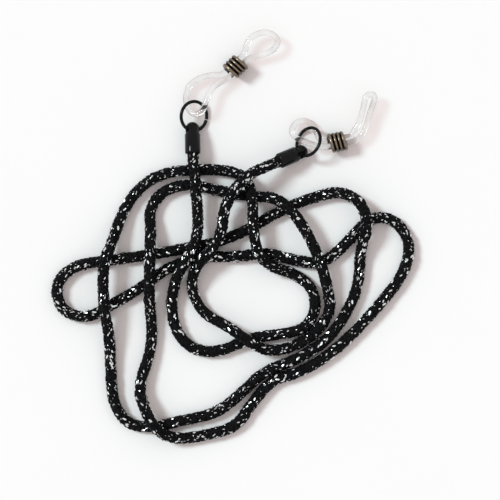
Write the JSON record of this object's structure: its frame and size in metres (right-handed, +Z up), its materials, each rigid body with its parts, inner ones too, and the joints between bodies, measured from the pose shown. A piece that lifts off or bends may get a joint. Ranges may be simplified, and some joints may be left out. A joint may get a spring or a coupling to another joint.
{
  "type": "eyeglass retainer strap",
  "caption": "Thin glittery knitted cord lying in a loose tangle, with a metal cap, split ring, clear silicone band and sliding wire coil at each end to grip spectacle temples.",
  "frame": {"origin": "middle of the two ends' fittings (caps, rings, bands and coils), on the surface the strap lies on", "axes": "+X along the longest extent of the fittings, from the left end to the right end; +Y away from the tangled cord; +Z up from the surface"},
  "size_m": [0.087, 0.0989, 0.0078],
  "materials": {
    "cord_knit": "knitted, black with silver glitter yarn",
    "cap_metal": "gloss black",
    "ring_metal": "satin black",
    "silicone": "clear and smooth",
    "coil_metal": "dark bronze, polished"
  },
  "bodies": {
    "strap": {"cord": "cord_knit", "cap_left": "cap_metal", "cap_right": "cap_metal"},
    "left_ring": {"ring_left": "ring_metal"},
    "left_band": {"band_left": "silicone"},
    "left_coil": {"coil_left": "coil_metal"},
    "right_ring": {"ring_right": "ring_metal"},
    "right_band": {"band_right": "silicone"},
    "right_coil": {"coil_right": "coil_metal"}
  },
  "joints": [
    {"name": "left_ring_swing", "type": "hinge", "parent": "strap", "child": "left_ring", "pos_m": [-0.02059, -0.00738, 0.00214], "axis": [-0.8498, 0.0742, 0.5219], "range_deg": [-30, 110]},
    {"name": "left_band_travel", "type": "hinge", "parent": "left_ring", "child": "left_band", "pos_m": [-0.0202, -0.00409, 0.0023], "axis": [0.5141, -0.1019, 0.8516], "range_deg": [-20, 70]},
    {"name": "left_coil_slide", "type": "slide", "parent": "left_band", "child": "left_coil", "axis": [0.7254, 0.6884, 0], "range_m": [-0.0006, 0.0006]},
    {"name": "right_ring_swing", "type": "hinge", "parent": "strap", "child": "right_ring", "pos_m": [0.00511, -0.01273, 0.00198], "axis": [-0.4849, 0.5999, -0.6364], "range_deg": [-20, 45]},
    {"name": "right_band_travel", "type": "hinge", "parent": "right_ring", "child": "right_band", "pos_m": [0.00714, -0.01023, 0.00279], "axis": [-0.6249, 0.2714, 0.732], "range_deg": [-20, 15]},
    {"name": "right_coil_slide", "type": "slide", "parent": "right_band", "child": "right_coil", "axis": [0.9816, 0.1908, 0], "range_m": [-0.0006, 0.0006]}
  ]
}
